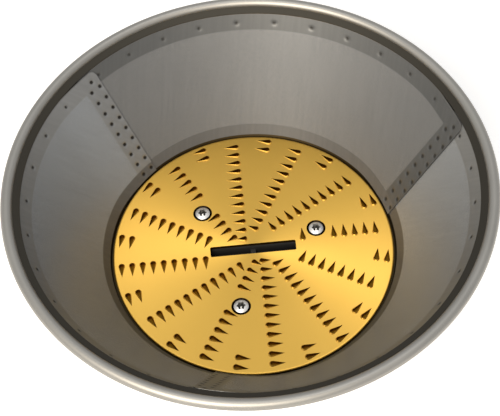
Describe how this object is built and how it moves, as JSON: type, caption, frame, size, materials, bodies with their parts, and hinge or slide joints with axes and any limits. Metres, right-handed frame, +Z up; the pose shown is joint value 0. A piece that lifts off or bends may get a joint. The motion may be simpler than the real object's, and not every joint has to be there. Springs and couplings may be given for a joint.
{
  "type": "juicer mesh screen",
  "caption": "Conical juicer strainer basket: lapped etched mesh panels under a rolled steel rim, with a gold toothed cutting disc screwed over a pan to a moulded drive hub.",
  "frame": {"origin": "on the spin axis, in the plane of the hub's lower face that the basket stands on", "axes": "+Z up along the spin axis out of the bowl's mouth, +X along the slot of the cutting disc"},
  "size_m": [0.15, 0.15, 0.0586],
  "materials": {
    "rim_steel": "satin",
    "mesh_steel": "fine etched mesh",
    "pan_steel": "satin",
    "gold_steel": "satin gold coating",
    "screw_steel": "bright",
    "hub_plastic": "fine matte"
  },
  "bodies": {
    "root": {"rim_ring": "rim_steel", "mesh_panel_1": "mesh_steel", "mesh_panel_2": "mesh_steel", "mesh_panel_3": "mesh_steel", "base_pan": "pan_steel", "cutting_disc": "gold_steel", "disc_screws": "screw_steel", "drive_hub": "hub_plastic"}
  },
  "joints": []
}
